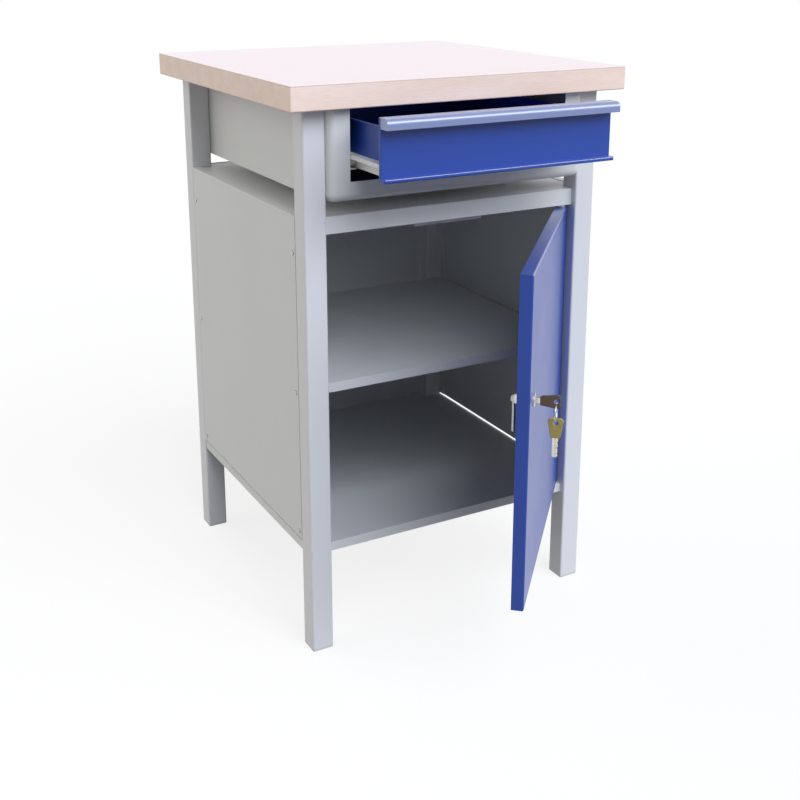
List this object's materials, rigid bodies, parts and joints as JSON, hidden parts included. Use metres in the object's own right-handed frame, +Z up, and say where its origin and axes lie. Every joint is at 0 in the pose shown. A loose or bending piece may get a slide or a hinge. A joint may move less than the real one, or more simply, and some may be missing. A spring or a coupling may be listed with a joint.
{
  "type": "workbench",
  "caption": "Free-standing steel workbench with a thick wooden top, a drawer on roller runners and a lockable hinged cupboard door.",
  "frame": {"origin": "on the floor, centre of the box that holds the bench with its drawer and door as stored", "axes": "+X to the right of someone who faces the door, +Y to the rear, +Z up"},
  "size_m": [0.57, 0.8446, 0.89],
  "materials": {
    "legs": "light grey powder coat, satin",
    "feet": "grey moulded plastic",
    "board": "pale beech board, oiled",
    "zinc": "zinc-plated steel",
    "cabinet_paint": "light grey powder coat, satin",
    "runner_white": "white epoxy coat",
    "roller_nylon": "natural nylon",
    "door_paint": "blue powder coat, satin",
    "nickel": "nickel-plated",
    "bow_plastic": "brown and olive moulded plastic"
  },
  "bodies": {
    "bench": {"leg_front_left": "legs", "leg_front_right": "legs", "leg_rear_left": "legs", "leg_rear_right": "legs", "foot_plug_front_left": "feet", "foot_plug_front_right": "feet", "foot_plug_rear_left": "feet", "foot_plug_rear_right": "feet", "worktop": "board", "worktop_screws": "zinc", "shelf_screws": "zinc", "panel_rivets": "zinc", "hinge_pin_lower": "zinc", "carcass_left": "cabinet_paint", "carcass_right": "cabinet_paint", "carcass_front": "cabinet_paint", "carcass_floor": "cabinet_paint", "carcass_back": "cabinet_paint", "runner_support_left": "cabinet_paint", "runner_support_right": "cabinet_paint", "side_panel_left": "cabinet_paint", "side_panel_right": "cabinet_paint", "panel_angles_left": "cabinet_paint", "panel_angles_right": "cabinet_paint", "back_panel": "cabinet_paint", "cabinet_top": "cabinet_paint", "middle_shelf": "cabinet_paint", "bottom_shelf": "cabinet_paint", "shelf_rail_left": "cabinet_paint", "shelf_rail_right": "cabinet_paint", "hinge_bracket_upper": "cabinet_paint", "door_stop": "cabinet_paint", "runner_channel_left": "runner_white", "runner_channel_right": "runner_white"},
    "drawer": {"drawer_front": "door_paint", "drawer_grip": "door_paint", "drawer_side_left": "door_paint", "drawer_side_right": "door_paint", "drawer_floor": "door_paint", "drawer_back": "door_paint", "drawer_inner_front": "door_paint", "front_screws": "zinc", "drawer_runner_left": "runner_white", "drawer_runner_right": "runner_white"},
    "front_roller_pair": {"front_rollers": "roller_nylon"},
    "rear_roller_pair": {"rear_rollers": "roller_nylon"},
    "door": {"door_pan": "door_paint", "door_stiffener": "door_paint", "lock_housing": "nickel", "lock_nut": "zinc"},
    "lock": {"lock_plug": "nickel", "lock_cam": "zinc", "cam_screw": "zinc", "key_blade": "nickel", "key_bow": "bow_plastic"},
    "ring": {"key_ring": "nickel", "spare_key_bow": "bow_plastic", "spare_key_blade": "nickel"}
  },
  "joints": [
    {"name": "drawer_slide", "type": "slide", "parent": "bench", "child": "drawer", "axis": [0, -1, 0], "range_m": [-0.099, 0.25]},
    {"name": "front_roller_spin", "type": "hinge", "parent": "bench", "child": "front_roller_pair", "pos_m": [0, -0.1144, 0.776], "axis": [1, 0, 0], "range_deg": [-680, 1700]},
    {"name": "rear_roller_spin", "type": "hinge", "parent": "drawer", "child": "rear_roller_pair", "pos_m": [0, 0.2003, 0.7745], "axis": [1, 0, 0], "range_deg": [-680, 1700]},
    {"name": "door_hinge", "type": "hinge", "parent": "bench", "child": "door", "pos_m": [0.207, -0.0987, 0.424], "axis": [0, 0, 1], "range_deg": [-48, 52]},
    {"name": "lock_turn", "type": "hinge", "parent": "door", "child": "lock", "pos_m": [-0.05062, -0.38481, 0.48], "axis": [-0.7431, 0.6691, 0], "range_deg": [0, 90]},
    {"name": "ring_swing", "type": "hinge", "parent": "lock", "child": "ring", "pos_m": [-0.02082, -0.41164, 0.48], "axis": [-0.6691, -0.7431, 0], "range_deg": [-4, 60]}
  ],
  "couplings": [
    {"joint": "front_roller_spin", "follows": "drawer_slide", "rad_per_m": 117.65},
    {"joint": "rear_roller_spin", "follows": "drawer_slide", "rad_per_m": 117.65}
  ]
}
